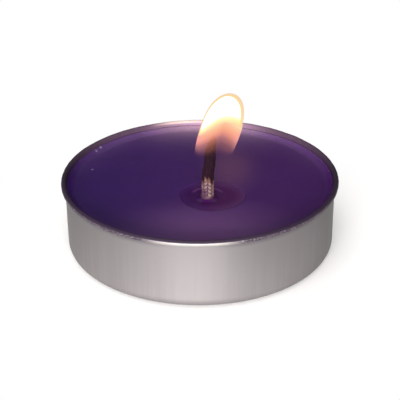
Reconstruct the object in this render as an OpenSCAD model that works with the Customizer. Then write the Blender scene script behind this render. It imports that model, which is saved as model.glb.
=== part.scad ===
// Tea light candle, lit: a low rolled-rim aluminium cup filled with purple wax, a braided wick
// crimped into a sunk metal foot, the pool of melted wax round the wick, and the flame.
// Millimetres, +Z up. The origin is the middle of the ring that the cup stands on.

/* [Cup] */
// Outer diameter of the straight wall, under the rolled rim
wall_d = 36.9; // [32:0.1:44]
// Height of the cup, from the table to the top of the rolled rim
cup_h = 10.2; // [9:0.1:20]
// Thickness of the aluminium sheet
sheet = 0.2; // [0.12:0.01:0.3]
// Outer diameter of the curl that the rim is rolled into
curl_d = 0.7; // [0.6:0.05:1.2]
// Angle through which the rim is rolled, from the top of the wall
curl_turn = 270; // [180:5:300]
// Amount by which the wall flares outwards below the curl
flare = 0.05; // [0.02:0.01:0.15]
// Outer radius of the corner between the wall and the base
corner_r = 1.4; // [0.8:0.1:2.2]

/* [Base of the cup] */
// Width of the flat ring that the cup stands on
foot_w = 2.2; // [1:0.1:4]
// Rise of the centre panel above the ring
panel_rise = 0.5; // [0.3:0.05:0.9]
// Radius of the two bends of the step, at the middle of the sheet
step_r = 0.4; // [0.25:0.05:0.5]
// Slope of the step between its two bends
step_slope = 45; // [40:1:60]

/* [Wax] */
// Depth of the wax's flat surface below the top of the rim
wax_drop = 1.3; // [0.8:0.1:3]
// Width of the band in which the wax rises to the wall
edge_w = 1.2; // [0.6:0.1:2]
// Height to which the wax climbs the wall
edge_h = 0.6; // [0.3:0.05:0.7]
// Gap that the set wax leaves at the wall and at the step of the base
shrink_gap = 0.04; // [0.02:0.01:0.1]

/* [Pool of melted wax] */
// Radius of the pool at the wax's surface
pool_r = 4.4; // [3:0.1:7]
// Depth of the bowl that the pool lies in, in its middle
pool_depth = 0.9; // [0.5:0.1:2]
// Offset of the pool's middle from the wick, to the right
pool_dx = 0.7; // [-1:0.1:1]
// Offset of the pool's middle from the wick, to the back
pool_dy = 0.5; // [-1:0.1:1]
// Depth of the liquid's surface below the set wax
pool_drop = 0.06; // [0.02:0.01:0.2]
// Gap between the liquid and its bowl
pool_gap = 0.02; // [0.01:0.01:0.05]
// Width of the collar of liquid that the wick draws up
collar_w = 0.7; // [0.5:0.1:1.6]
// Height of that collar
collar_h = 0.2; // [0.1:0.05:0.8]

/* [Wick] */
// Diameter of the wick where it leaves the wax
wick_d = 1.75; // [1.2:0.05:2.2]
// Length of wick above the wax
wick_out = 9.2; // [5:0.1:12]
// Sideways bend of the wick at its tip, to the right
wick_bend = 0.85; // [0:0.05:1.5]
// Share of its diameter that the wick loses towards the tip
wick_taper = 0.06; // [0:0.01:0.3]
// Position of the wick to the right of the cup's middle
wick_x = 1; // [-3:0.1:3]
// Position of the wick behind the cup's middle
wick_y = -4.6; // [-5:0.1:5]
// Number of columns of stitches round the braid
braid_columns = 8; // [6:2:8]
// Height of one stitch of the braid
stitch = 0.55; // [0.5:0.05:1]
// Depth of the grooves between the stitches
groove = 0.1; // [0.04:0.01:0.16]

/* [Wick foot] */
// Diameter of the foot's disc
foot_disc_d = 12.5; // [9:0.1:14]
// Thickness of the foot's sheet
foot_sheet = 0.22; // [0.15:0.01:0.3]
// Height of the foot's neck, from the underside of the disc
neck_h = 3.4; // [2.6:0.1:4.5]
// Length of the neck's crimped end
crimp_h = 1; // [0.6:0.1:1.4]
// Amount that the crimp takes off the wick's diameter
crimp_squeeze = 0.35; // [0.1:0.05:0.5]
// Inner radius of the bend between the disc and the neck
neck_bend = 0.4; // [0.2:0.05:0.6]
// Diameter of the stiffening bead pressed into the disc, at its crest
bead_d = 8.6; // [7:0.1:8.8]
// Outer radius of that bead
bead_r = 0.5; // [0.4:0.05:0.7]
// Clearance of the wick in the neck and in the wax
wick_gap = 0.03; // [0.02:0.01:0.06]
// Clearance of the foot in the wax
foot_gap = 0.04; // [0.02:0.01:0.1]

/* [Flame] */
// Greatest width of the flame
flame_w = 5.55; // [5:0.1:8]
// Height of the flame, from its lower edge to its tip
flame_h = 8.5; // [7:0.1:14]
// Depth of the flame's lower edge below the tip of the wick
flame_drop = 2.85; // [2:0.05:4]
// Lean of the flame from upright, to the right
flame_lean = 13.8; // [8:0.1:16]
// Offset of the flame from the wick at its lower edge, to the right
flame_dx = 0.48; // [0:0.01:0.6]
// Thickness of the flame at its lower edge
flame_skin = 0.3; // [0.2:0.05:0.4]
// Distance from the tip of the wick to the dark hollow's roof
flame_gap = 0.42; // [0.3:0.01:0.6]

/* [Hidden] */
$fn = 180;
eps = 0.01;

// Cup: radii and heights that the sheet's path runs through
wall_r = wall_d / 2;
bore_r = wall_r - sheet;
curl_x = bore_r + flare + curl_d / 2;
curl_z = cup_h - curl_d / 2;
flare_z = cup_h - curl_d - 0.25;
foot_r = wall_r - corner_r;
step_out = foot_r - foot_w;
step_len = (panel_rise - 2 * step_r * (1 - cos(step_slope))) / sin(step_slope);
step_run = 2 * step_r * sin(step_slope) + step_len * cos(step_slope);
panel_r = step_out - step_run;
floor_z = panel_rise + sheet;
low_bend = [step_out, sheet / 2 + step_r];
high_bend = [panel_r, panel_rise + sheet / 2 - step_r];

// Wax and pool
wax_r = bore_r - shrink_gap;
wax_z = cup_h - wax_drop;
pool_x = wick_x + pool_dx;
pool_y = wick_y + pool_dy;
bowl_r = fillet_r(pool_r, pool_depth);
bowl_z = wax_z - pool_depth + bowl_r;
pool_z = wax_z - pool_drop;

// Wick and its foot, which share the wick's axis
hole_r = wick_d / 2 + wick_gap;
crimp_d = wick_d - crimp_squeeze;
crimp_r = crimp_d / 2 + wick_gap;
neck_r = hole_r + foot_sheet;
crimp_z = neck_h - crimp_h;
crimp_cone = 0.5;
tip_z = wax_z + wick_out;
relief_z = pool_z + collar_h;
wick_sides = 4 * braid_columns;
wick_rings = 84;

// Flame
flame_z = tip_z - flame_drop;
flame_roof = tip_z + flame_gap;
flame_sides = 40;
flame_rings = 26;
hollow_rings = 10;

// Radius of an arc that leaves a flat surface and climbs by h over the width w
function fillet_r(w, h) = (w * w + h * h) / (2 * h);
// Point at the distance r and the angle a from c
function polar(c, r, a) = c + r * [cos(a), sin(a)];
// Sideways place of the wick's axis at the height z
function wick_axis(z) = wick_x + wick_bend * pow(max(0, z - wax_z) / wick_out, 2);

// Bend in sheet of the thickness t round c, with the outer radius r, between two angles
module bend(c, r, t, a0, a1) {
  translate(c)
    intersection() {
      difference() {
        circle(r = r);
        circle(r = r - t);
      }
      polygon(concat([[0, 0]], [for (i = [0 : 6]) polar([0, 0], 2 * r, a0 + (a1 - a0) * i / 6)]));
    }
}

// All that lies below the raised panel and its step: k is 1 for the face inside the cup,
// and -1 for the face under it
module under_floor(k) {
  t = k * sheet / 2;
  difference() {
    union() {
      polygon([
        [0, -1],
        [step_out, -1],
        [step_out, sheet / 2 + t],
        polar(low_bend, step_r - t, 270 - step_slope),
        polar(high_bend, step_r + t, 90 - step_slope),
        [panel_r, panel_rise + sheet / 2 + t],
        [0, panel_rise + sheet / 2 + t]
      ]);
      translate(high_bend)
        circle(r = step_r + t);
    }
    translate(low_bend)
      circle(r = step_r - t);
  }
}

// Outline of a straight wall of the radius r up to z, over a corner of the radius c, from z0 up
module vessel(r, c, z0, z) {
  translate([0, z0])
    square([r - c, z - z0]);
  translate([0, z0 + c])
    square([r, z - z0 - c]);
  translate([r - c, z0 + c])
    circle(r = c);
}

// Section of the cup: one sheet that runs from the panel over the step, the foot ring and the
// corner up the wall, flares, and ends in the rolled rim
module cup_section() {
  difference() {
    vessel(wall_r, corner_r, 0, flare_z);
    difference() {
      vessel(bore_r, corner_r - sheet, sheet, cup_h);
      under_floor(1);
    }
    under_floor(-1);
  }
  polygon([
    [bore_r, flare_z - eps],
    [wall_r, flare_z - eps],
    [wall_r, flare_z],
    [wall_r + flare, curl_z],
    [wall_r + flare - sheet / 4, curl_z + 3 * eps],
    [bore_r + flare + sheet / 4, curl_z + 3 * eps],
    [bore_r + flare, curl_z],
    [bore_r, flare_z]
  ]);
  bend([curl_x, curl_z], curl_d / 2, sheet, 180 - curl_turn, 180);
}

module cup() {
  color([0.80, 0.77, 0.76])
    rotate_extrude()
      cup_section();
}

// Section of the wax: rounded at the foot of the wall, stepped over the panel, raised at the wall
module wax_section() {
  difference() {
    union() {
      vessel(wax_r, corner_r - sheet, sheet, wax_z);
      translate([wax_r - edge_w, wax_z - eps])
        square([edge_w, edge_h + eps]);
    }
    translate([shrink_gap, 0])
      under_floor(1);
    translate([0, -1])
      square([2 * shrink_gap, floor_z + 1]);
    translate([wax_r - edge_w, wax_z + fillet_r(edge_w, edge_h)])
      circle(r = fillet_r(edge_w, edge_h));
  }
}

// Room that the wick's foot takes in the wax, seen from its side
module foot_room() {
  translate([0, -1])
    square([foot_disc_d / 2 + foot_gap, foot_sheet + foot_gap + 1]);
  translate([bead_d / 2, 0])
    circle(r = bead_r + foot_gap);
  difference() {
    square([neck_r + neck_bend, foot_sheet + neck_bend]);
    translate([neck_r + neck_bend, foot_sheet + neck_bend])
      circle(r = neck_bend - foot_gap);
  }
  square([neck_r + foot_gap, neck_h + foot_gap]);
}

module wax() {
  color([0.24, 0.13, 0.31])
    difference() {
      rotate_extrude()
        wax_section();
      translate([pool_x, pool_y, bowl_z])
        sphere(r = bowl_r);
      translate([wick_x, wick_y, floor_z])
        rotate_extrude()
          foot_room();
      translate([wick_x, wick_y, floor_z])
        cylinder(r = hole_r, h = wax_z);
    }
}

// Liquid wax: a lens in its bowl, with a collar drawn up round the wick
module melt_pool() {
  color([0.29, 0.13, 0.34])
    difference() {
      union() {
        intersection() {
          translate([pool_x, pool_y, bowl_z])
            sphere(r = bowl_r - pool_gap);
          translate([-wall_r, -wall_r, 0])
            cube([wall_d, wall_d, pool_z]);
        }
        translate([wick_x, wick_y, pool_z])
          rotate_extrude()
            difference() {
              translate([0, -eps])
                square([hole_r + collar_w, collar_h + eps]);
              translate([hole_r + collar_w, fillet_r(collar_w, collar_h)])
                circle(r = fillet_r(collar_w, collar_h));
            }
      }
      translate([wick_x, wick_y, 0])
        cylinder(r = hole_r, h = cup_h);
    }
}

// Section of the wick's foot: disc with a pressed bead, bend, neck and crimped end in one sheet
module foot_section() {
  bend_z = foot_sheet + neck_bend;
  difference() {
    translate([neck_r + neck_bend - eps, 0])
      square([foot_disc_d / 2 - neck_r - neck_bend + eps, foot_sheet]);
    translate([bead_d / 2, 0])
      circle(r = bead_r - foot_sheet);
  }
  bend([bead_d / 2, 0], bead_r, foot_sheet, 0, 180);
  bend([neck_r + neck_bend, bend_z], bend_z, foot_sheet, 180, 270);
  polygon([
    [hole_r, bend_z - eps],
    [neck_r, bend_z - eps],
    [neck_r, crimp_z - crimp_cone],
    [crimp_r + foot_sheet, crimp_z],
    [crimp_r + foot_sheet, neck_h],
    [crimp_r, neck_h],
    [crimp_r, crimp_z],
    [hole_r, crimp_z - crimp_cone]
  ]);
}

module wick_foot() {
  color([0.70, 0.69, 0.67])
    translate([wick_x, wick_y, floor_z])
      rotate_extrude()
        foot_section();
}

// Closed skin over rings of points, each with as many, between the point low and the point high
module loft(low, rings, high) {
  n = len(rings[0]);
  m = len(rings);
  polyhedron(
    points = concat([low], [for (r = rings) each r], [high]),
    faces = concat(
      [for (j = [0 : n - 1]) [0, 1 + j, 1 + (j + 1) % n]],
      [for (i = [0 : m - 2], j = [0 : n - 1])
        let (a = 1 + i * n + j, b = 1 + i * n + (j + 1) % n) [a, a + n, b + n]],
      [for (i = [0 : m - 2], j = [0 : n - 1])
        let (a = 1 + i * n + j, b = 1 + i * n + (j + 1) % n) [a, b + n, b]],
      [for (j = [0 : n - 1]) [m * n + 1, (m - 1) * n + 1 + (j + 1) % n, (m - 1) * n + 1 + j]]
    )
  );
}

// Share of a rise from 0 to 1 while x goes from 0 to 1, without a kink
function smooth(x) = let (t = min(1, max(0, x))) t * t * (3 - 2 * t);
// Radius of the wick at the height h above its lower end, inside the wax
function buried_r(h) = wick_d / 2 - crimp_squeeze / 2 * (
  h < crimp_z ? max(0, 1 - (crimp_z - h) / crimp_cone) : max(0, 1 - max(0, h - neck_h) / crimp_cone));
// Radius of the wick at the share u of its free length
function free_r(u) = wick_d / 2 * (1 - wick_taper * u) * pow(1 - pow(u, 5.5), 0.6);
// Height of the braid's surface, from 0 in a groove to 1 on a stitch, at the angle a and height z
function braid(a, z) =
  let (
    column = floor(a * braid_columns / 360 + 0.001),
    u = a * braid_columns / 360 - column,
    lay = column % 2 == 0 ? 0.5 : -0.5
  )
  pow(abs(sin(180 * u)), 0.5) * pow(abs(sin(180 * (z / stitch + lay * (u - 0.5)))), 0.6);

// One ring of the wick at the height z with the radius r
function wick_ring(z, r) = [for (j = [0 : wick_sides - 1])
  let (
    a = 360 * j / wick_sides,
    depth = groove * smooth((z - relief_z) / stitch) * (1 - braid(a, z)),
    c = polar([wick_axis(z), wick_y], r - min(depth, r / 2), a)
  )
  [c[0], c[1], z]];

// Wick: round where the foot and the wax hold it, braided, bent and burnt to a stub above them
module wick() {
  buried = [0, crimp_z - crimp_cone, crimp_z, neck_h, neck_h + crimp_cone];
  color([0.42, 0.28, 0.30])
    loft(
      [wick_x, wick_y, floor_z],
      concat(
        [for (h = buried) wick_ring(floor_z + h, buried_r(h))],
        [for (i = [0 : wick_rings - 1])
          let (u = i / wick_rings) wick_ring(wax_z + wick_out * u, free_r(u))]
      ),
      [wick_axis(tip_z), wick_y, tip_z]
    );
}

// Middle of the flame at the height z
function flame_axis(z) = wick_axis(flame_z) + flame_dx + (z - flame_z) * tan(flame_lean);
// Radius of the flame at the share s of its height, fullest a third of the way up
function flame_r(s) = flame_w / 2 * sqrt(1 - pow(s, 4.2)) * (1 - 0.06 * pow(max(0, 1 - 3 * s), 2));
// Radius of the dark hollow round the wick, at the share s of its height
function hollow_r(s) = (flame_r(0) - flame_skin) * sqrt(1 - pow(s, 2.2));
// One ring of the flame at the height z with the radius r
function flame_ring(z, r) = [for (j = [0 : flame_sides - 1])
  let (c = polar([flame_axis(z), wick_y], r, 360 * j / flame_sides)) [c[0], c[1], z]];

// Flame: a glowing hood, hollow round the tip of the wick and open below
module flame() {
  color([1, 0.83, 0.55, 0.8])
    loft(
      [flame_axis(flame_roof), wick_y, flame_roof],
      concat(
        [for (i = [hollow_rings - 1 : -1 : 0])
          let (s = sin(90 * i / hollow_rings))
            flame_ring(flame_z + (flame_roof - flame_z) * s, hollow_r(s))],
        [for (i = [0 : flame_rings - 1])
          let (s = sin(90 * i / flame_rings))
            flame_ring(flame_z + flame_h * s, flame_r(s))]
      ),
      [flame_axis(flame_z + flame_h), wick_y, flame_z + flame_h]
    );
}

cup();
wax();
melt_pool();
wick_foot();
wick();
flame();
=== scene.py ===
"""A lit tea light candle: the looks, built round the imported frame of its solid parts.

Lengths are written in millimetres, and become metres where a mesh or a material takes them.
"""
import math

import bpy
import numpy as np
from mathutils import Matrix, Vector, noise


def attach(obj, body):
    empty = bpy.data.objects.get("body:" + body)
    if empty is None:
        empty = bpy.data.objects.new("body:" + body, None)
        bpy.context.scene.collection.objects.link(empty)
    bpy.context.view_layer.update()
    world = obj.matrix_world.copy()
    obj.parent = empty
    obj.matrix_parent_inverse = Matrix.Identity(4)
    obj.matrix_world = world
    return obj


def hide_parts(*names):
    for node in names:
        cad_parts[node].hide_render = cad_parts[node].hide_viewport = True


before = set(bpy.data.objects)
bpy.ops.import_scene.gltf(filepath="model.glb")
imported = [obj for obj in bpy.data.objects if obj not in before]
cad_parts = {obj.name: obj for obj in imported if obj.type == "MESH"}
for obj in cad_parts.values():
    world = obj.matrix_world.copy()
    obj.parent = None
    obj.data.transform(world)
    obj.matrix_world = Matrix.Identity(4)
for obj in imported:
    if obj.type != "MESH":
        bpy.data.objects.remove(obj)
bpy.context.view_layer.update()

MM = 0.001

# ---- Sizes, as in the solid parts -------------------------------------------------------------

SHEET = 0.2
WALL_R = 18.45
BORE_R = WALL_R - SHEET
CUP_H = 10.2
CURL_R = 0.35
FLARE = 0.05
CORNER_R = 1.4
FOOT_R = WALL_R - CORNER_R
FOOT_W = 2.2
PANEL_RISE = 0.5
STEP_R = 0.4
STEP_SLOPE = math.radians(45)
STEP_IN = FOOT_R - FOOT_W
STEP_LEN = (PANEL_RISE - 2 * STEP_R * (1 - math.cos(STEP_SLOPE))) / math.sin(STEP_SLOPE)
PANEL_R = STEP_IN - 2 * STEP_R * math.sin(STEP_SLOPE) - STEP_LEN * math.cos(STEP_SLOPE)
FLOOR_Z = PANEL_RISE + SHEET

SHRINK_GAP = 0.04
WAX_R = BORE_R - SHRINK_GAP
WAX_Z = CUP_H - 1.3
EDGE_W, EDGE_H = 1.2, 0.6

WICK = np.array([1.0, -4.6])
WICK_D = 1.75
HOLE_R = WICK_D / 2 + 0.03
WICK_OUT = 9.2
WICK_BEND = 0.85
WICK_TAPER = 0.06
TIP_Z = WAX_Z + WICK_OUT
BRAID_COLUMNS = 8
STITCH = 0.55

# The wick's foot, with the heights taken from the floor of the cup
DISC_R = 6.25
FOOT_SHEET = 0.22
FOOT_GAP = 0.04
NECK_H = 3.4
CRIMP_H = 1.0
CRIMP_SQUEEZE = 0.35
BEAD_R = 4.3

POOL = WICK + np.array([0.7, 0.5])
POOL_R, POOL_DEPTH = 4.4, 0.9
BOWL_R = (POOL_R ** 2 + POOL_DEPTH ** 2) / (2 * POOL_DEPTH)
BOWL_Z = WAX_Z - POOL_DEPTH + BOWL_R
POOL_Z = WAX_Z - 0.06
COLLAR_W, COLLAR_H = 0.7, 0.2

FLAME_Z = TIP_Z - 2.85
FLAME_H = 8.5
FLAME_W = 5.55
FLAME_LEAN = math.radians(13.8)
FLAME_DX = 0.48
FLAME_SKIN = 0.3
FLAME_ROOF = TIP_Z + 0.42

# ---- Sizes that only the looks have -----------------------------------------------------------

# Height of the rolled rim as a share of its width: it is a little oval
ROLL_STRETCH = 1.3
# Unevenness of the drawn sheet. Each row has a depth, how fast it changes round and up the cup,
# and a seed
SWELL = ((0.018, 5, 0.15, 1), (0.008, 16, 0.1, 2))
PLEATS = ((0.030, 22, 0.2, 3), (0.016, 48, 0.5, 4))
DIPS = ((0.020, 9, 0, 5), (0.012, 30, 0, 6))
# Depth that keeps the pleats and dips inside the cup's own size
RIM_INSET = 0.01
# Amount by which the wax's top reaches past its side, to the wall
WAX_REACH = 0.03
# Unevenness of the wax's top, as broad swells and as fine grit
WAX_SWELL, WAX_GRIT = 0.035, 0.006
# Depth of the grooves between the braid's stitches
GROOVE = 0.17
# Heights above the wax at which the wick starts to scorch and to burn away
SCORCH, BURN = 2.1, 2.2
# Height of the arch over the wick, above which the fire is white
ARCH = 20.6
# Height of the lower edge of the white fire's skin, in its middle
ARCH_EDGE = ARCH - 0.25
# How far the fire's left and right legs hang below the arch, and how fast they drop outwards
CORE_LEGS = ((2.9, 2.0), (1.7, 2.2))
MANTLE_LEGS = ((2.4, 1.2), (2.1, 1.4))
# A height under the flame, for what doesn't glow
UNLIT = 16.0
FULL_TURN = 2 * math.pi


# ---- Meshes -----------------------------------------------------------------------------------

def make_object(name, points, faces, smooth=True):
    """A mesh object from points in millimetres."""
    mesh = bpy.data.meshes.new(name)
    mesh.from_pydata([tuple(p) for p in np.asarray(points) * MM], [], faces)
    mesh.validate()
    if smooth:
        mesh.shade_smooth()
    obj = bpy.data.objects.new(name, mesh)
    bpy.context.scene.collection.objects.link(obj)
    return obj


def join_rings(name, rings, low=None, high=None, loop=False):
    """Skins rings of equal count. The skin ends in the points low and high, or closes on itself."""
    count = len(rings[0])
    points = [p for ring in rings for p in ring]
    faces = []
    last = len(rings) if loop else len(rings) - 1
    for i in range(last):
        a, b = i * count, (i + 1) % len(rings) * count
        for j in range(count):
            k = (j + 1) % count
            faces.append((a + j, a + k, b + k, b + j))
    if low is not None:
        points.append(low)
        faces += [(len(points) - 1, (j + 1) % count, j) for j in range(count)]
    if high is not None:
        points.append(high)
        top = (len(rings) - 1) * count
        faces += [(len(points) - 1, top + j, top + (j + 1) % count) for j in range(count)]
    return make_object(name, points, faces)


def store(obj, name, values):
    """Stores one number per vertex, which a material can read."""
    layer = obj.data.attributes.new(name, "FLOAT", "POINT")
    layer.data.foreach_set("value", np.asarray(values, dtype=np.float32))


def wobble(x, y, z, seed):
    """Smooth noise from -1 to 1 at a place."""
    return noise.noise(Vector((x + 17.3 * seed, y - 9.1 * seed, z + 4.7 * seed)))


def wobbles(points, scale, seed):
    """The noise at many points, finer with a larger scale."""
    return np.array([wobble(*(p * scale), seed) for p in points])


def wobbles_round(turns, z, scale, z_scale, seed):
    """The noise round an upright axis at the height z."""
    return np.array([wobble(math.cos(a) * scale, math.sin(a) * scale, z * z_scale, seed)
                     for a in turns])


def ease(x):
    """From 0 to 1 without a kink while x goes from 0 to 1."""
    x = np.clip(x, 0, 1)
    return x * x * (3 - 2 * x)


def angles(count):
    """Evenly spaced angles of one full turn."""
    return np.linspace(0, FULL_TURN, count, endpoint=False)


def fillet_r(width, height):
    """Radius of an arc that leaves a flat surface and climbs by a height over a width."""
    return (width ** 2 + height ** 2) / (2 * height)


def arc(centre, radius, start, end, steps):
    """Points and left-hand normals along an arc, with the angles in degrees."""
    out = []
    turn = 1 if end > start else -1
    for a in np.radians(np.linspace(start, end, steps)):
        d = np.array([math.cos(a), math.sin(a)])
        out.append((np.array(centre) + radius * d, -turn * d))
    return out


def straight(start, end, steps):
    """Points and left-hand normals along a straight line."""
    start, end = np.array(start, float), np.array(end, float)
    d = (end - start) / np.linalg.norm(end - start)
    normal = np.array([-d[1], d[0]])
    return [(start + (end - start) * t, normal) for t in np.linspace(0, 1, steps)]


def circle(centre, radius, z, turns, shape=None):
    """A ring round a centre. A shape gives its radius a share for each angle."""
    r = radius if shape is None else radius * shape
    return np.stack([centre[0] + r * np.cos(turns), centre[1] + r * np.sin(turns),
                     np.full_like(turns, z)], axis=1)


def sheet_section():
    """The cup's section: both faces of the sheet, from the panel over the foot up to the roll."""
    half = SHEET / 2
    low = (STEP_IN, half + STEP_R)
    high = (PANEL_R, PANEL_RISE + half - STEP_R)
    curl_x, curl_z = BORE_R + FLARE + CURL_R, CUP_H - CURL_R
    slope = math.degrees(STEP_SLOPE)
    path = straight((1.0, PANEL_RISE + half), (PANEL_R - 0.05, PANEL_RISE + half), 9)
    path += arc(high, STEP_R, 90, 90 - slope, 6)
    path += arc(low, STEP_R, 270 - slope, 270, 6)
    path += straight((STEP_IN + 0.1, half), (FOOT_R - 0.1, half), 4)
    path += arc((FOOT_R, CORNER_R), CORNER_R - half, 270, 360, 14)
    path += straight((WALL_R - half, CORNER_R + 0.2), (WALL_R - half, curl_z - 0.6), 30)
    roll = arc((curl_x, curl_z), CURL_R - half, 180, -90, 40)
    path += [(np.array([p[0], CUP_H - (CUP_H - p[1]) * ROLL_STRETCH]), n) for p, n in roll]
    inner = [p + half * n for p, n in path]
    outer = [p - half * n for p, n in path]
    return inner + outer[::-1]


def cup_shell():
    """The cup's one sheet: panel, step, foot ring, corner, wall and rolled rim."""
    turns = angles(600)

    def waves(c, s, z, rows):
        return sum(depth * wobble(c * k, s * k, z * up, seed) for depth, k, up, seed in rows)

    rings = []
    for r, z in sheet_section():
        lift = ease((z - 1.6) / 7.0)
        rim = ease((z - (CUP_H - 1.0)) / 0.6)
        ring = []
        for a in turns:
            c, s = math.cos(a), math.sin(a)
            rr = r + lift * waves(c, s, z, SWELL) + rim * (waves(c, s, z, PLEATS) - RIM_INSET)
            ring.append((rr * c, rr * s, z + rim * (waves(c, s, z, DIPS) - RIM_INSET)))
        rings.append(ring)
    return join_rings("cup_shell", rings, low=(0, 0, FLOOR_Z), high=(0, 0, PANEL_RISE))


def pool_outline(turns):
    """The pool isn't quite round: the share of its radius at each angle."""
    return (1 + 0.018 * np.cos(2 * turns + 0.6) + 0.012 * np.cos(3 * turns - 1.1)
            + 0.006 * np.cos(7 * turns))


def bowl_height(points):
    """Height of the pool's bowl under or over each point."""
    x, y = points[:, 0] - POOL[0], points[:, 1] - POOL[1]
    d = np.hypot(x, y) / pool_outline(np.arctan2(y, x))
    return BOWL_Z - np.sqrt(np.maximum(BOWL_R ** 2 - d ** 2, 1))


def wax_height(points):
    """Height of the set wax: flat, drawn up at the wall and hollowed under the pool."""
    rho = np.hypot(points[:, 0], points[:, 1])
    rise = np.clip((rho - (WAX_R - EDGE_W)) / EDGE_W, 0, 1)
    edge_r = fillet_r(EDGE_W, EDGE_H)
    z = WAX_Z + edge_r - np.sqrt(edge_r ** 2 - (rise * EDGE_W) ** 2)
    inner = 1 - ease((rho - 15) / 2)
    z += inner * WAX_SWELL * wobbles(points, 0.22, 7) + WAX_GRIT * wobbles(points, 1.1, 8)
    bowl = bowl_height(points)
    soft = 0.05
    low = np.clip(0.5 + 0.5 * (z - bowl) / soft, 0, 1)
    return z * (1 - low) + bowl * low - soft * low * (1 - low)


def wax_block():
    """The set wax, from its top over the wall side and the base back up the wick's hole."""
    turns = angles(320)
    rings = []
    for t in np.linspace(0, 1, 190):
        t = t ** 0.9
        ring = circle(WICK * (1 - t), HOLE_R * (1 - t) + (WAX_R + WAX_REACH) * t, 0, turns)
        ring[:, 2] = wax_height(ring)
        rings.append(ring)
    corner = CORNER_R - SHEET
    side = [(WAX_R, z) for z in (8.0, 5.0, 2.4)]
    for a in np.radians(np.linspace(0, 90, 9)):
        side.append((WAX_R - corner + corner * math.cos(a), CORNER_R - corner * math.sin(a)))
    side += [(STEP_IN + SHRINK_GAP, SHEET), (PANEL_R + SHRINK_GAP, FLOOR_Z)]
    rings += [circle((0, 0), r, z, turns) for r, z in side]
    disc_r, neck_r = DISC_R + FOOT_GAP, HOLE_R + FOOT_SHEET + FOOT_GAP
    neck_top = NECK_H + FOOT_GAP
    room = [(disc_r, 0), (disc_r, FOOT_SHEET + FOOT_GAP), (BEAD_R + 0.6, 0.3), (BEAD_R, 0.56),
            (BEAD_R - 0.6, 0.3), (neck_r + 0.5, 0.3), (neck_r, 0.8), (neck_r, neck_top),
            (HOLE_R, neck_top), (HOLE_R, 5.8)]
    rings += [circle(WICK, r, FLOOR_Z + up, turns) for r, up in room]
    return join_rings("wax_block", rings, loop=True)


def pool_liquid():
    """The melted wax: a lens with a collar drawn up round the wick."""
    turns = angles(240)
    reach = math.sqrt(BOWL_R ** 2 - (BOWL_Z - POOL_Z) ** 2)
    inner = circle(WICK, HOLE_R, 0, turns)
    outer = circle(POOL, reach, 0, turns, pool_outline(turns))
    collar_r = fillet_r(COLLAR_W, COLLAR_H)
    rings = []
    for t in list(np.linspace(0, 0.995, 110)) + [0.998, 1]:
        t = t ** 1.25
        ring = inner * (1 - t) + outer * t
        rho = np.hypot(ring[:, 0] - WICK[0], ring[:, 1] - WICK[1]) - HOLE_R
        up = np.clip(1 - rho / COLLAR_W, 0, 1) * COLLAR_W
        ring[:, 2] = POOL_Z + collar_r - np.sqrt(collar_r ** 2 - up ** 2)
        rings.append(ring)
    for t in np.linspace(0.99, 0, 30):
        ring = inner * (1 - t) + outer * t
        ring[:, 2] = np.minimum(bowl_height(ring) + 0.02, POOL_Z - 0.02)
        rings.append(ring)
    return join_rings("pool_liquid", rings, loop=True)


def wick_axis(z):
    """Sideways place of the wick's axis at a height."""
    return WICK[0] + WICK_BEND * (np.maximum(0, z - WAX_Z) / WICK_OUT) ** 2


def braid(turns, z):
    """The braid at a height: how full each stitch is, from 0 to 1, and the ripple of its fibres."""
    place = turns * BRAID_COLUMNS / FULL_TURN
    column = np.floor(place + 1e-6)
    across = place - column - 0.5
    lay = np.where(column % 2 == 0, 0.55, -0.55)
    along = (z / STITCH + lay * across + 0.08 * np.sin(column * 2.4)) % 1.0 - 0.5
    full = np.sqrt(np.clip(1 - (2 * across) ** 2, 0, 1))
    full *= np.sqrt(np.clip(1 - (1.9 * along) ** 2, 0, 1))
    return full, np.sin((across * 3.1 * np.sign(lay) + along) * 24)


def wick_yarn():
    """The braided wick, with a smooth wet foot, a plump braid and a burnt, crumbling tip."""
    turns = angles(144)
    rings, char, groove, lit = [], [], [], []
    crimp = (FLOOR_Z + NECK_H - CRIMP_H, FLOOR_Z + NECK_H)
    heights = [FLOOR_Z, 2.4, *crimp, 4.6] + list(np.linspace(WAX_Z - 0.6, TIP_Z - 0.02, 430))
    right = ease(0.5 + 2 * np.cos(turns))
    for z in heights:
        up = z - WAX_Z
        u = max(0.0, up / WICK_OUT)
        r = WICK_D / 2 * (1 - WICK_TAPER * u) * (1 - u ** 5.5) ** 0.6
        if z in crimp:
            r = (WICK_D - CRIMP_SQUEEZE) / 2
        full, fibre = braid(turns, z)
        depth = GROOVE * float(ease((up - 0.1) / 0.7))
        burnt = float(ease((up - BURN) / 1.5))
        ragged = 0.45 * np.sin(turns * 3 + 0.7) + 0.25 * np.sin(turns * 8 + z)
        lumps = wobbles_round(turns, z, 2.6, 2.6, 11)
        crumbs = wobbles_round(turns, z, 7, 8, 12)
        rr = r - depth * (1 - full) * (1 - 0.45 * burnt) + 0.006 * fibre * (depth > 0.05)
        rr += burnt * (0.07 * lumps + 0.035 * crumbs - 0.03)
        rr = np.minimum(rr, r + 0.02) if up >= 0 else r
        sway = 0.05 * burnt * math.sin(z * 1.9)
        nod = 0.03 * burnt * math.sin(z * 2.7)
        rings.append(circle((wick_axis(z) + sway, WICK[1] + nod), rr, z, turns))
        char += list(ease((up - SCORCH - ragged) / 1.3))
        # Where glints are painted: the wick's right side, and all round from a little above the
        # wax.
        lit += list(np.maximum(right, 0.75 * float(ease((up - 1.3) / 0.4))))
        groove += list(1 - full * (depth > 0.05))
    tip = (wick_axis(TIP_Z) + 0.05, WICK[1], TIP_Z)
    obj = join_rings("wick_yarn", rings, low=(WICK[0], WICK[1], FLOOR_Z), high=tip)
    store(obj, "char", char + [0, 1])
    store(obj, "groove", groove + [0, 0])
    store(obj, "lit", lit + [0, 0])
    return obj


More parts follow.
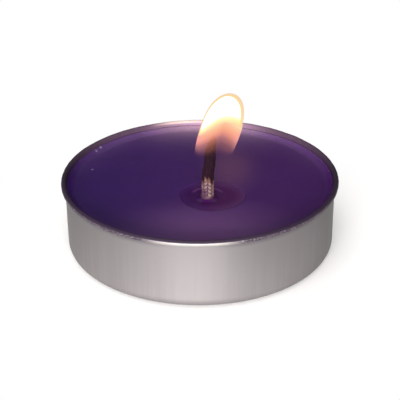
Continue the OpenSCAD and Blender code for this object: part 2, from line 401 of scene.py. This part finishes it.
def flame_middle(z):
    """Sideways place of the flame's middle at a height."""
    return wick_axis(FLAME_Z) + FLAME_DX + (z - FLAME_Z) * math.tan(FLAME_LEAN)


def flame_half_width(z):
    """Half the flame's width at a height: fullest low down, blunt on top."""
    s = np.clip((z - FLAME_Z) / FLAME_H, 0, 1)
    return FLAME_W / 2 * np.sqrt(1 - s ** 4.2) * (1 - 0.06 * np.maximum(0, 1 - 3 * s) ** 2)


def hang(side, legs):
    """How far the fire hangs down at a share of the half-width to one side, left or right."""
    left, right = legs
    reach = np.abs(side)
    return np.where(side < 0, left[0] * reach ** left[1], right[0] * reach ** right[1])


def flame_shell(name, left, right):
    """A closed skin inside the flame's outline, by left and right on those sides, which ends
    below in the arch over the wick."""
    turns = angles(128)
    side = np.cos(turns)
    inset = left + (right - left) * ease(0.5 + 0.7 * side)
    crown = FLAME_Z + FLAME_H - right

    def foot(out):
        """Height of the arch at a share of the way out to the skin's edge."""
        return ARCH_EDGE - hang(side * 0.9 * out, CORE_LEGS)

    rings = []
    for t in np.linspace(0.03, 1, 70):
        z = crown - (crown - foot(1)) * (1 - math.cos(t * math.pi / 2))
        outline = flame_half_width(np.minimum(z + right, FLAME_Z + FLAME_H))
        r = np.maximum(outline - inset, 0.02)
        rings.append(np.stack([flame_middle(z) + r * side, WICK[1] + r * np.sin(turns), z], axis=1))
    edge = rings[-1]
    middle = np.array([flame_middle(ARCH), WICK[1], ARCH_EDGE])
    for t in np.linspace(0.94, 0.06, 16):
        ring = middle + (edge - middle) * t
        ring[:, 2] = foot(t)
        rings.append(ring)
    rings = rings[::-1]
    obj = join_rings(name, rings, low=tuple(middle), high=(flame_middle(crown), WICK[1], crown))
    points = np.concatenate(rings)
    across = (points[:, 0] - flame_middle(points[:, 2])) / (FLAME_W / 2)
    rise = points[:, 2] + hang(across, CORE_LEGS)
    store(obj, "rise", list(rise) + [ARCH_EDGE, crown])
    return obj


def flame_mantle():
    """The orange skin of the flame and the two fading wings that hang from it beside the wick."""
    turns = angles(128)
    rings, rise, core, low = [], [], [], []
    hollow = flame_half_width(FLAME_Z) - FLAME_SKIN

    def add_ring(z, r):
        """The right wing draws in a little towards its foot."""
        slim = 1 - 0.09 * ease((FLAME_Z + 4.2 - z) / 3.6) * ease(np.cos(turns))
        rings.append(circle((flame_middle(z), WICK[1]), r * slim, z, turns))
        low.extend([z] * len(turns))

    for t in np.sin(np.linspace(0.06, 1, 20) * math.pi / 2)[::-1]:
        r = hollow * math.sqrt(max(0, 1 - t ** 2.2)) + 0.02
        add_ring(FLAME_Z + (FLAME_ROOF - FLAME_Z) * t, r)
        rise += [UNLIT] * len(turns)
        core += [UNLIT] * len(turns)
    for t in np.sin(np.linspace(0, 0.985, 90) * math.pi / 2):
        z = FLAME_Z + FLAME_H * t
        r = float(flame_half_width(z))
        add_ring(z, r)
        across = np.cos(turns) * r / (FLAME_W / 2)
        rise += list(z + hang(across, MANTLE_LEGS))
        core += list(z + hang(across, CORE_LEGS))
    tip_z = FLAME_Z + FLAME_H
    obj = join_rings("flame_mantle", rings,
                     low=(flame_middle(FLAME_ROOF), WICK[1], FLAME_ROOF + 0.02),
                     high=(flame_middle(tip_z), WICK[1], tip_z))
    store(obj, "rise", rise + [UNLIT, tip_z])
    store(obj, "core_rise", core + [UNLIT, tip_z])
    store(obj, "low", low + [FLAME_ROOF, tip_z])
    store(obj, "side", list(np.abs(np.cos(turns))) * len(rings) + [0, 0])
    return obj


# ---- Node helpers -----------------------------------------------------------------------------

def new_material(name, blended=False):
    """An empty node material with a Principled shader on its output."""
    material = bpy.data.materials.new(name)
    material.use_nodes = True
    tree = material.node_tree
    tree.nodes.clear()
    out = tree.nodes.new("ShaderNodeOutputMaterial")
    shader = tree.nodes.new("ShaderNodeBsdfPrincipled")
    tree.links.new(shader.outputs[0], out.inputs[0])
    if blended:
        material.surface_render_method = "BLENDED"
    return material, tree, shader


def fill(tree, node, inputs):
    """Sets or links a node's inputs."""
    for key, value in inputs.items():
        if isinstance(value, bpy.types.NodeSocket):
            tree.links.new(value, node.inputs[key])
        else:
            node.inputs[key].default_value = value


def add(tree, kind, inputs=None, **settings):
    """Adds a node, sets its options, and sets or links its inputs."""
    node = tree.nodes.new(kind)
    for key, value in settings.items():
        setattr(node, key, value)
    fill(tree, node, inputs or {})
    return node


def math_node(tree, operation, a, b=0.0, clamp=False):
    node = add(tree, "ShaderNodeMath", {0: a, 1: b}, operation=operation, use_clamp=clamp)
    return node.outputs[0]


def times(tree, a, b):
    return math_node(tree, "MULTIPLY", a, b)


def plus(tree, a, b):
    return math_node(tree, "ADD", a, b)


def remap(tree, value, low, high, to_low=0.0, to_high=1.0):
    """Carries a value over from one range to another, without a kink at its ends."""
    node = add(tree, "ShaderNodeMapRange",
               {"Value": value, "From Min": low, "From Max": high, "To Min": to_low,
                "To Max": to_high}, interpolation_type="SMOOTHSTEP")
    return node.outputs["Result"]


def share(tree, value, low, high):
    """How far a value is on its way from low to high, from 0 to 1."""
    node = add(tree, "ShaderNodeMapRange", {"Value": value, "From Min": low, "From Max": high})
    return node.outputs["Result"]


def mix(tree, factor, a, b):
    """A colour between a and b."""
    node = add(tree, "ShaderNodeMix", data_type="RGBA")
    fill(tree, node, {0: factor, 6: a, 7: b})
    return node.outputs[2]


def ramp(tree, value, stops):
    """A colour ramp over stops of (place, colour)."""
    node = add(tree, "ShaderNodeValToRGB", {"Fac": value})
    bar = node.color_ramp
    bar.elements[0].position, bar.elements[0].color = stops[0]
    bar.elements[1].position, bar.elements[1].color = stops[-1]
    for place, colour in stops[1:-1]:
        bar.elements.new(place).color = colour
    return node.outputs["Color"]


def attribute(tree, name):
    return add(tree, "ShaderNodeAttribute", attribute_name=name).outputs["Fac"]


def rgb(r, g, b):
    return (r, g, b, 1.0)


def grey(v):
    return (v, v, v, 1.0)


def vector_node(tree, operation, inputs):
    return add(tree, "ShaderNodeVectorMath", inputs, operation=operation).outputs


def place_on(tree):
    """Where a point lies on the object, by X, Y and Z."""
    place = add(tree, "ShaderNodeTexCoord").outputs["Object"]
    return add(tree, "ShaderNodeSeparateXYZ", {0: place}).outputs


def flat_length(tree, x, y):
    """The length of a level step by x and y."""
    step = add(tree, "ShaderNodeCombineXYZ", {"X": x, "Y": y}).outputs[0]
    return vector_node(tree, "LENGTH", {0: step})["Value"]


def bump(tree, height, strength, distance):
    """A small relief, with its distance in millimetres."""
    node = add(tree, "ShaderNodeBump",
               {"Height": height, "Strength": strength, "Distance": distance * MM})
    return node.outputs[0]


# ---- Effects that several materials share -----------------------------------------------------

def new_group(name, inputs, output):
    """An empty node group, what it is given by name, and the socket that takes its result."""
    tree = bpy.data.node_groups.new(name, "ShaderNodeTree")
    for label, value in inputs.items():
        socket = tree.interface.new_socket(label, in_out="INPUT", socket_type="NodeSocketFloat")
        socket.default_value = value
    tree.interface.new_socket(output, in_out="OUTPUT", socket_type="NodeSocketFloat")
    given = tree.nodes.new("NodeGroupInput").outputs
    return tree, given, tree.nodes.new("NodeGroupOutput").inputs[output]


def use_group(tree, group, values):
    """Places a shared effect with its own values."""
    node = add(tree, "ShaderNodeGroup", node_tree=group)
    fill(tree, node, values)
    return node.outputs[0]


def grain_group():
    """Soft streaky grain. Drawn metal has it long and upright; wax has it round."""
    tree, given, result = new_group(
        "streaky_grain", {"Scale": 400.0, "Upright Stretch": 0.1, "Detail": 4.0}, "Grain")
    place = add(tree, "ShaderNodeTexCoord").outputs["Object"]
    stretch = add(tree, "ShaderNodeCombineXYZ", {"X": 1.0, "Y": 1.0, "Z": given["Upright Stretch"]})
    stretched = vector_node(tree, "MULTIPLY", {0: place, 1: stretch.outputs[0]})[0]
    cloud = add(tree, "ShaderNodeTexNoise", {"Vector": stretched, "Scale": given["Scale"],
                                             "Detail": given["Detail"], "Roughness": 0.6})
    tree.links.new(cloud.outputs["Fac"], result)
    return tree


def patch_group():
    """A soft round or oval patch, seen from above: 1 in its middle and 0 beyond its reach."""
    tree, given, result = new_group(
        "soft_patch", {"Middle X": 0.0, "Middle Y": 0.0, "Reach X": 5.0 * MM, "Reach Y": 5.0 * MM,
                       "Softness": 1.0}, "Patch")
    place = place_on(tree)
    near = [math_node(tree, "DIVIDE",
                      math_node(tree, "SUBTRACT", place[axis], given["Middle " + axis]),
                      given["Reach " + axis]) for axis in "XY"]
    full = math_node(tree, "SUBTRACT", 1.0, given["Softness"])
    tree.links.new(remap(tree, flat_length(tree, *near), full, 1.0, 1.0, 0.0), result)
    return tree


def far_light_group():
    """How strongly the flame lights the cup's far side: most behind it, less along the sides."""
    tree, given, result = new_group("far_light", {"Behind": 0.85, "Along the Sides": 0.14}, "Light")
    behind = times(tree, patch(tree, (1.3, 18.0), (11.5, 30.0)), given["Behind"])
    sides = share(tree, place_on(tree)["Y"], 0.0, 14.0 * MM)
    sides = times(tree, sides, given["Along the Sides"])
    tree.links.new(plus(tree, behind, sides), result)
    return tree


def grain(tree, scale, stretch, detail=4.0):
    """Grain with so many waves to the metre. A small stretch draws it out upright."""
    return use_group(tree, GRAIN, {"Scale": scale, "Upright Stretch": stretch, "Detail": detail})


def patch(tree, middle, reach, soft=1.0):
    """A patch, with its middle and its reach in millimetres and its soft edge as a share."""
    return use_group(tree, PATCH, {
        "Middle X": middle[0] * MM, "Middle Y": middle[1] * MM,
        "Reach X": reach[0] * MM, "Reach Y": reach[1] * MM, "Softness": soft})


def far_light(tree, behind=0.85, sides=0.14):
    """The flame's light on the far side, as strong as this behind the flame and at the sides."""
    return use_group(tree, FAR_LIGHT, {"Behind": behind, "Along the Sides": sides})


GRAIN = grain_group()
PATCH = patch_group()
FAR_LIGHT = far_light_group()


# ---- Finishes ---------------------------------------------------------------------------------

# Radius beyond which the cup's sheet is its rolled rim
ROLL_FROM = 18.52
# Middle of the front stretch of rim that is left bare of painted shade
CLEAR_X = -0.9


def painted_shade_and_reflection(tree, place, rho):
    """Where wax-coloured painted reflection and shade cover the cup: a painted reflection of the
    wax on the inside above its level, a painted dark reflection on the crown, and painted shade on
    the rim's sides, with glints of bare metal between. Gives this painted cover and the crown."""
    inside = times(tree, remap(tree, rho, (BORE_R + 0.12) * MM, (BORE_R + 0.07) * MM),
                   math_node(tree, "GREATER_THAN", place["Z"], 5.0 * MM))
    crown = remap(tree, place["Z"], (CUP_H - 0.42) * MM, (CUP_H - 0.27) * MM)
    off = math_node(tree, "ABSOLUTE", plus(tree, place["X"], -CLEAR_X * MM))
    glints = remap(tree, grain(tree, 6500.0, 1.0, 2.0), 0.50, 0.68, 1.0, 0.62)
    sides = times(tree, remap(tree, off, 1.8 * MM, 7.2 * MM, 0.0, 0.97), glints)
    # The painted shade on the rim's sides fades out down the top of the wall.
    high = remap(tree, place["Z"], (CUP_H - 1.7) * MM, (CUP_H - 0.6) * MM)
    painted_cover = math_node(tree, "MAXIMUM", math_node(tree, "MAXIMUM", inside, crown),
                     times(tree, sides, high))
    return painted_cover, crown


def drawn_aluminium():
    """Drawn sheet, streaked upright, with a brighter rolled rim, painted shade darker towards the
    top of the wall, wax-coloured painted reflection and shade inside and on the rim, lilac from
    painted flame light on the far side, and a painted peach reflection of the flame on the far
    crown.
    """
    material, tree, shader = new_material("drawn_aluminium")
    place = place_on(tree)
    rho = flat_length(tree, place["X"], place["Y"])
    streaks = grain(tree, 1500.0, 0.03, 5.0)
    clouds = grain(tree, 160.0, 0.35, 3.0)
    both = plus(tree, times(tree, streaks, 0.6), times(tree, clouds, 0.4))
    colour = ramp(tree, both, [(0.3, rgb(0.165, 0.153, 0.155)), (0.7, rgb(0.200, 0.186, 0.188))])
    # Painted shade: the wall is darker towards the top and lighter towards the bottom.
    high = share(tree, place["Z"], 1.5 * MM, 9.0 * MM)
    colour = mix(tree, high, colour, rgb(0.145, 0.135, 0.137))
    rolled = math_node(tree, "GREATER_THAN", rho, ROLL_FROM * MM)
    colour = mix(tree, rolled, colour, rgb(0.33, 0.31, 0.298))
    # Painted reflection and shade in wax colours: where they lie, the sheet takes the tone below
    # instead of bare metal.
    painted_cover, crown = painted_shade_and_reflection(tree, place, rho)
    # The tone of the painted cover: dark, with painted flame light turning it lilac on the far
    # side.
    wax = mix(tree, far_light(tree), rgb(0.018, 0.010, 0.022), rgb(0.27, 0.160, 0.240))
    colour = mix(tree, painted_cover, colour, wax)
    # Painted reflection of the flame: a peach patch on the crown behind it.
    painted_flame_reflection = times(tree, patch(tree, (-2.5, 18.6), (8.0, 2.5)), crown)
    colour = mix(tree, times(tree, painted_flame_reflection, 0.8), colour, rgb(0.52, 0.40, 0.34))
    rough = remap(tree, both, 0.3, 0.7, 0.53, 0.47)
    rough = math_node(tree, "SUBTRACT", rough, times(tree, rolled, 0.1))
    pleats = times(tree, times(tree, grain(tree, 3600.0, 0.4, 2.0), rolled), 6.0)
    around = add(tree, "ShaderNodeTangent", direction_type="RADIAL", axis="Z")
    fill(tree, shader, {
        "Base Color": colour,
        "Metallic": remap(tree, painted_cover, 0.0, 1.0, 0.6, 0.0),
        "Roughness": plus(tree, rough, times(tree, painted_cover, 0.25)),
        "Normal": bump(tree, plus(tree, both, pleats), 0.10, 0.02),
        "Specular IOR Level": 0.2,
        "Specular Tint": grey(0.45),
        "Anisotropic": 0.5,
        "Anisotropic Rotation": 0.25,
        "Tangent": around.outputs[0]})
    return material


def tinned_steel():
    """Thin rolled steel with a bright coat of tin."""
    material, tree, shader = new_material("tinned_steel")
    rolled = grain(tree, 900.0, 0.5, 4.0)
    colour = ramp(tree, rolled, [(0.3, rgb(0.45, 0.44, 0.42)), (0.7, rgb(0.62, 0.61, 0.58))])
    fill(tree, shader, {
        "Base Color": colour,
        "Roughness": remap(tree, rolled, 0.3, 0.7, 0.4, 0.28),
        "Normal": bump(tree, rolled, 0.2, 0.02),
        "Metallic": 1.0})
    return material


def purple_wax():
    """Set wax: deep purple, with painted flame light that makes it paler by the far rim and warm
    behind the pool, and a painted reflection of the flame in front of the pool.
    """
    material, tree, shader = new_material("purple_wax")
    place = place_on(tree)
    rho = flat_length(tree, place["X"], place["Y"])
    cloud = grain(tree, 220.0, 1.0, 5.0)
    fine = grain(tree, 2600.0, 1.0, 3.0)
    colour = ramp(tree, cloud, [(0.3, rgb(0.0180, 0.0038, 0.058)),
                                (0.7, rgb(0.0240, 0.0056, 0.072))])
    right = share(tree, place["X"], -14.0 * MM, 8.0 * MM)
    colour = mix(tree, right, colour, rgb(0.031, 0.0065, 0.064))
    # Painted flame light: paler and lilac close to the wall, strongest behind the flame.
    inwards = math_node(tree, "DIVIDE", math_node(tree, "SUBTRACT", rho, 17.9 * MM), 2.4 * MM)
    painted_rim_light = times(tree, math_node(tree, "POWER", math.e, inwards), far_light(tree))
    colour = mix(tree, share(tree, painted_rim_light, 0.0, 0.35), colour, rgb(0.104, 0.056, 0.126))
    colour = mix(tree, share(tree, painted_rim_light, 0.35, 1.0), colour, rgb(0.232, 0.142, 0.196))
    specks = [((-15.17, 4.32), (0.24, 0.3)), ((-15.0, 9.85), (0.22, 0.3)),
              ((-14.45, 10.85), (0.25, 0.3))]
    # Painted light: the flame's blurred reflection, lighter in front of the pool, and the flame's
    # warm light on the wax behind the wick. Then darker wax at the pool's edge, and pale specks.
    patches = [((0.9, -13.4), (14.5, 10.5), 1.0, 0.75, rgb(0.094, 0.040, 0.128)),
               ((4.2, 4.5), (5.2, 11.0), 1.0, 0.75, rgb(0.082, 0.030, 0.074)),
               (POOL, (4.6, 4.6), 0.08, 0.35, rgb(0.012, 0.003, 0.024))]
    patches += [(middle, reach, 0.8, 0.4, rgb(0.30, 0.22, 0.38)) for middle, reach in specks]
    for middle, reach, soft, strength, tone in patches:
        spot = patch(tree, middle, reach, soft)
        colour = mix(tree, times(tree, spot, strength), colour, tone)
    fill(tree, shader, {
        "Base Color": colour,
        "Roughness": remap(tree, cloud, 0.3, 0.7, 0.36, 0.46),
        "Normal": bump(tree, plus(tree, cloud, times(tree, fine, 0.12)), 0.3, 0.04),
        "Subsurface Weight": 0.25,
        "Subsurface Radius": (1.2 * MM, 0.5 * MM, 1.8 * MM),
        "Subsurface Scale": 1.0,
        "IOR": 1.44,
        "Specular IOR Level": 0.06})
    return material


def melted_wax():
    """Melted wax: dark and clear, with a faint painted highlight in a ring where it climbs towards
    the wick.
    """
    material, tree, shader = new_material("melted_wax")
    place = place_on(tree)
    cloud = grain(tree, 260.0, 1.0, 3.0)
    colour = ramp(tree, cloud, [(0.3, rgb(0.021, 0.0028, 0.042)), (0.7, rgb(0.027, 0.0040, 0.050))])
    right = share(tree, place["X"], -1.0 * MM, 3.0 * MM)
    colour = mix(tree, right, colour, rgb(0.036, 0.0070, 0.046))
    shore = mix(tree, share(tree, place["X"], -2.0 * MM, 3.0 * MM),
                rgb(0.030, 0.0070, 0.068), rgb(0.052, 0.0165, 0.069))
    deep = patch(tree, POOL + (-0.25, 0.05), (4.85, 3.95), 0.42)
    colour = mix(tree, deep, shore, colour)
    # Painted highlight: a faint ring on the far side of the collar round the wick.
    middle = WICK + (0.0, 1.2)
    within = patch(tree, middle, (2.1, 1.9), 0.25)
    ring = times(tree, patch(tree, middle, (2.4, 2.2), 0.25),
                 math_node(tree, "SUBTRACT", 1.0, within))
    behind = share(tree, place["Y"], (middle[1] + 0.1) * MM, (middle[1] + 0.8) * MM)
    colour = mix(tree, times(tree, ring, behind), colour, rgb(0.075, 0.028, 0.100))
    fill(tree, shader, {
        "Base Color": colour,
        "Roughness": remap(tree, cloud, 0.3, 0.7, 0.10, 0.15),
        "IOR": 1.43,
        "Specular IOR Level": 0.05})
    return material


def wick_cotton():
    """Cotton that is wet with wax low down and burnt above, with painted pale glints on the crests
    of its stitches.
    """
    material, tree, shader = new_material("wick_cotton")
    char = attribute(tree, "char")
    crest = remap(tree, attribute(tree, "groove"), 0.55, 0.15)
    fibres = grain(tree, 5200.0, 0.6, 4.0)
    # Painted glints: pale on the stitches' crests where the attribute lit is high.
    wet_with_painted_glints = mix(tree, times(tree, crest, attribute(tree, "lit")),
              rgb(0.050, 0.021, 0.038), rgb(0.150, 0.098, 0.092))
    burnt = mix(tree, fibres, rgb(0.004, 0.0008, 0.003), rgb(0.013, 0.0026, 0.008))
    colour = mix(tree, remap(tree, char, 0.0, 0.3), wet_with_painted_glints, rgb(0.070, 0.031, 0.024))
    colour = mix(tree, remap(tree, char, 0.35, 0.9), colour, burnt)
    fill(tree, shader, {
        "Base Color": colour,
        "Roughness": remap(tree, char, 0.1, 0.7, 0.22, 1.0),
        "Normal": bump(tree, fibres, 0.5, 0.03),
        "Specular IOR Level": 0.12})
    return material


def fire(name, colour, strength, cover):
    """A fire that only glows. Cover and colour are made in its node tree, which they are given."""
    material, tree, shader = new_material(name, blended=True)
    fill(tree, shader, {
        "Emission Color": colour(tree),
        "Emission Strength": strength,
        "Alpha": cover(tree),
        "Base Color": grey(0.0),
        "Roughness": 1.0,
        "Specular IOR Level": 0.0})
    return material


def hot_core():
    """White fire, yellow along its lower edge."""
    def colour(tree):
        up = share(tree, attribute(tree, "rise"), ARCH - 0.1, ARCH + 1.3)
        return ramp(tree, up, [
            (0.0, rgb(0.17, 0.11, 0.06)), (0.16, rgb(0.17, 0.15, 0.08)),
            (0.36, rgb(0.175, 0.17, 0.085)), (0.62, rgb(0.30, 0.29, 0.18)),
            (1.0, rgb(1.0, 0.90, 0.74))])

    def cover(tree):
        return remap(tree, attribute(tree, "rise"), ARCH - 0.15, ARCH + 0.25)

    return fire("flame_core", colour, 6.0, cover)


def yellow_halo():
    """The pale yellow fire between the white core and the orange skin."""
    def colour(tree):
        return rgb(1.0, 0.93, 0.45)

    def cover(tree):
        return remap(tree, attribute(tree, "rise"), ARCH - 0.15, ARCH + 0.35, 0.0, 0.5)

    return fire("flame_halo", colour, 1.0, cover)


def mantle_rise(tree):
    """How high a point of the orange skin is on its ramps, from 0 to 1."""
    return share(tree, attribute(tree, "rise"), 16.5, 24.5)


def orange_mantle():
    """The thin orange skin, salmon above the wick, pink and fading in the wings."""
    def colour(tree):
        up = mantle_rise(tree)
        warm = ramp(tree, up, [
            (0.0, rgb(1.0, 0.33, 0.20)), (0.31, rgb(1.0, 0.35, 0.24)),
            (0.425, rgb(0.96, 0.375, 0.25)), (0.48, rgb(0.98, 0.47, 0.27)),
            (0.54, rgb(0.99, 0.57, 0.35)), (0.59, rgb(0.97, 0.71, 0.42)),
            (0.65, rgb(1.0, 0.66, 0.30)), (0.74, rgb(0.95, 0.54, 0.20)),
            (1.0, rgb(0.90, 0.47, 0.12))])
        pink = remap(tree, attribute(tree, "side"), 0.45, 1.0, 0.0, 0.65)
        below = math_node(tree, "SUBTRACT", 1.0, remap(tree, up, 0.45, 0.58))
        return mix(tree, times(tree, pink, below), warm, rgb(1.0, 0.40, 0.40))

    def cover(tree):
        body = ramp(tree, mantle_rise(tree), [
            (0.0, grey(0.0)), (0.1, grey(0.07)), (0.21, grey(0.18)), (0.32, grey(0.41)),
            (0.375, grey(0.70)), (0.43, grey(0.95)), (0.52, grey(1.0)), (1.0, grey(1.0))])
        slant = times(tree, attribute(tree, "side"), 0.7)
        height = plus(tree, attribute(tree, "low"), slant)
        root = remap(tree, height, FLAME_Z + 0.7, FLAME_Z + 2.2)
        thin = remap(tree, attribute(tree, "core_rise"), ARCH + 0.1, ARCH + 0.6, 1.0, 0.42)
        return times(tree, times(tree, body, root), thin)

    return fire("flame_mantle", colour, 1.0, cover)


# ---- The object -------------------------------------------------------------------------------

def dress(piece, material, node):
    """Gives a piece its finish, and lets it stand for a solid part of the frame."""
    piece.data.materials.append(material)
    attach(piece, "root")
    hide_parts(node)


dress(cup_shell(), drawn_aluminium(), "cup")
dress(wax_block(), purple_wax(), "wax")
dress(pool_liquid(), melted_wax(), "melt_pool")
dress(wick_yarn(), wick_cotton(), "wick")
dress(flame_mantle(), orange_mantle(), "flame")
dress(flame_shell("flame_halo", 0.07, 0.17), yellow_halo(), "flame")
dress(flame_shell("flame_core", 0.13, 0.34), hot_core(), "flame")

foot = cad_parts["wick_foot"]
foot.data.materials.clear()
foot.data.materials.append(tinned_steel())


# ---- Floor, light and camera ------------------------------------------------------------------

FLOOR_R = 1500.0
# Radii between which the floor's shadow gives way to plain white
SHADOW_FROM, SHADOW_TO = 19.5, 36.0
CAMERA_UP = math.radians(27.33)
CAMERA_AWAY = 160.0
CAMERA_ROLL = math.radians(-0.5)
CAMERA_AIM = (-0.01, 0, 6.14)
# Focal length and width of the photograph, in its pixels
FOCAL, PICTURE = 1151.6, 400
FILM_WIDTH = 36.0


def pale_floor():
    """A pale floor with the cup's soft shadow, plain white further out, as in the photograph."""
    turns = angles(96)
    ring = circle((0, 0), FLOOR_R, 0.0, turns)
    obj = make_object("pale_floor", list(ring), [tuple(range(len(turns)))], smooth=False)
    material, tree, shader = new_material("pale_floor")
    colour = ramp(tree, grain(tree, 60.0, 1.0, 2.0), [(0.3, grey(0.88)), (0.7, grey(0.90))])
    fill(tree, shader, {"Base Color": colour, "Roughness": 0.9, "Specular IOR Level": 0.2})
    place = place_on(tree)
    rho = flat_length(tree, place["X"], place["Y"])
    path = add(tree, "ShaderNodeLightPath").outputs
    seen = math_node(tree, "ADD", plus(tree, path["Is Camera Ray"], path["Is Glossy Ray"]),
                     path["Is Transmission Ray"], clamp=True)
    outside = times(tree, seen, remap(tree, rho, SHADOW_FROM * MM, SHADOW_TO * MM))
    white = add(tree, "ShaderNodeEmission", {"Color": grey(1.0), "Strength": 1.0})
    both = add(tree, "ShaderNodeMixShader",
               {0: outside, 1: shader.outputs[0], 2: white.outputs[0]})
    tree.links.new(both.outputs[0], tree.nodes["Material Output"].inputs[0])
    obj.data.materials.append(material)


def softbox(name, place, aim, width, depth, power, colour):
    """A soft lamp at a place, turned to what it is aimed at, with its power in watts."""
    lamp = bpy.data.lights.new(name, "AREA")
    lamp.shape = "RECTANGLE"
    lamp.size, lamp.size_y = width * MM, depth * MM
    lamp.energy = power
    lamp.color = colour
    obj = bpy.data.objects.new(name, lamp)
    obj.location = Vector(place) * MM
    obj.rotation_euler = (Vector(aim) - Vector(place)).to_track_quat("-Z", "Y").to_euler()
    bpy.context.scene.collection.objects.link(obj)


def studio():
    """The floor, three soft lamps and a dim room."""
    pale_floor()
    white = (1.0, 0.98, 0.97)
    softbox("overhead_softbox", (-35, 40, 330), (0, 0, 0), 640, 640, 1.75, (1.0, 0.975, 0.94))
    softbox("front_softbox", (-27, -405, 80), (0, 0, 5), 335, 100, 4.8, white)
    softbox("left_softbox", (-270, -305, 70), (0, 0, 5), 240, 140, 0.9, white)
    world = bpy.data.worlds.new("dim_studio")
    world.use_nodes = True
    back = world.node_tree.nodes["Background"]
    fill(world.node_tree, back, {"Color": rgb(0.9, 0.95, 1.0), "Strength": 0.10})
    bpy.context.scene.world = world


def camera():
    """The photograph's camera, in front of the candle and above it, rolled a little."""
    back = Vector((0, -math.cos(CAMERA_UP), math.sin(CAMERA_UP)))
    lens = bpy.data.cameras.new("camera")
    lens.sensor_width = FILM_WIDTH
    lens.lens = FOCAL / PICTURE * FILM_WIDTH
    lens.clip_start, lens.clip_end = 5.0 * MM, 5000.0 * MM
    obj = bpy.data.objects.new("camera", lens)
    turn = (-back).to_track_quat("-Z", "Y").to_matrix() @ Matrix.Rotation(CAMERA_ROLL, 3, "Z")
    place = (Vector(CAMERA_AIM) + back * CAMERA_AWAY) * MM
    obj.matrix_world = Matrix.Translation(place) @ turn.to_4x4()
    bpy.context.scene.collection.objects.link(obj)
    bpy.context.scene.camera = obj


studio()
camera()
bpy.context.scene.view_settings.view_transform = "Standard"

bpy.context.view_layer.update()
